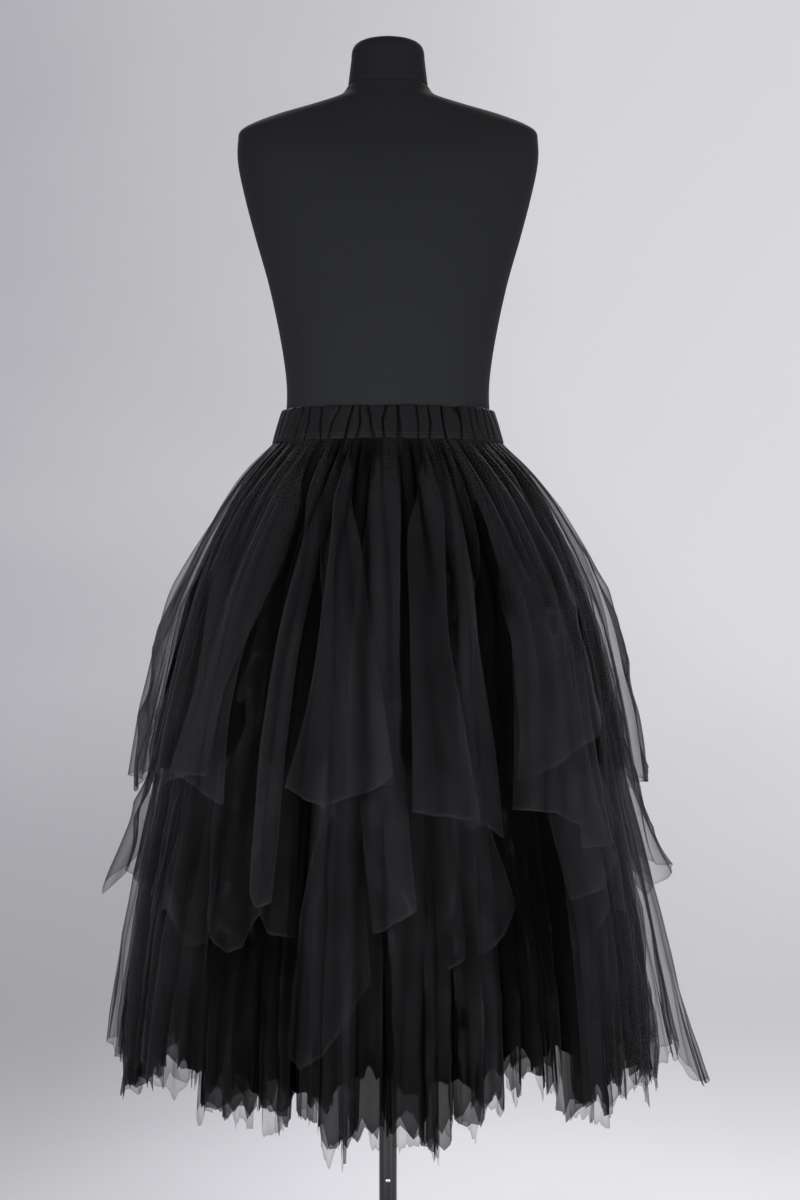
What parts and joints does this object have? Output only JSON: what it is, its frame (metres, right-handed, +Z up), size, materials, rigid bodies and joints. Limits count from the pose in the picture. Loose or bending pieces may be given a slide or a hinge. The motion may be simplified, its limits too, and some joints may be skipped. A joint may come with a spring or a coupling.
{
  "type": "tulle skirt on a dress form with stand",
  "caption": "Long full skirt of layered net panels with a pointed hem and a gathered elastic waist, on a limbless dress form with a pole stand.",
  "frame": {"origin": "on the floor at the centre of the stand's round base", "axes": "+Z up along the pole, -Y the side that the picture shows, +X to the right in that view"},
  "size_m": [0.737, 0.6386, 1.557],
  "materials": {
    "net": "matt black tulle net, sheer in one ply and near black in many",
    "band_cloth": "black woven cloth with a faint sheen, gathered over elastic",
    "form_jersey": "matt charcoal jersey stretched over a smooth form",
    "stand_paint": "satin black paint on steel"
  },
  "bodies": {
    "root": {"stand_base": "stand_paint", "stand_pole": "stand_paint", "form_torso": "form_jersey", "form_neck_cap": "form_jersey", "waistband": "band_cloth", "under_gore_01": "net", "under_gore_02": "net", "under_gore_03": "net", "under_gore_04": "net", "under_gore_05": "net", "under_gore_06": "net", "under_gore_07": "net", "under_gore_08": "net", "under_gore_09": "net", "under_gore_10": "net", "long_panel_01": "net", "long_panel_02": "net", "long_panel_03": "net", "long_panel_04": "net", "long_panel_05": "net", "long_panel_06": "net", "long_panel_07": "net", "long_panel_08": "net", "long_panel_09": "net", "long_panel_10": "net", "middle_panel_01": "net", "middle_panel_02": "net", "middle_panel_03": "net", "middle_panel_04": "net", "middle_panel_05": "net", "middle_panel_06": "net", "middle_panel_07": "net", "middle_panel_08": "net", "middle_panel_09": "net", "middle_panel_10": "net", "top_panel_01": "net", "top_panel_02": "net", "top_panel_03": "net", "top_panel_04": "net", "top_panel_05": "net", "top_panel_06": "net", "top_panel_07": "net", "top_panel_08": "net", "top_panel_09": "net", "top_panel_10": "net"}
  },
  "joints": []
}
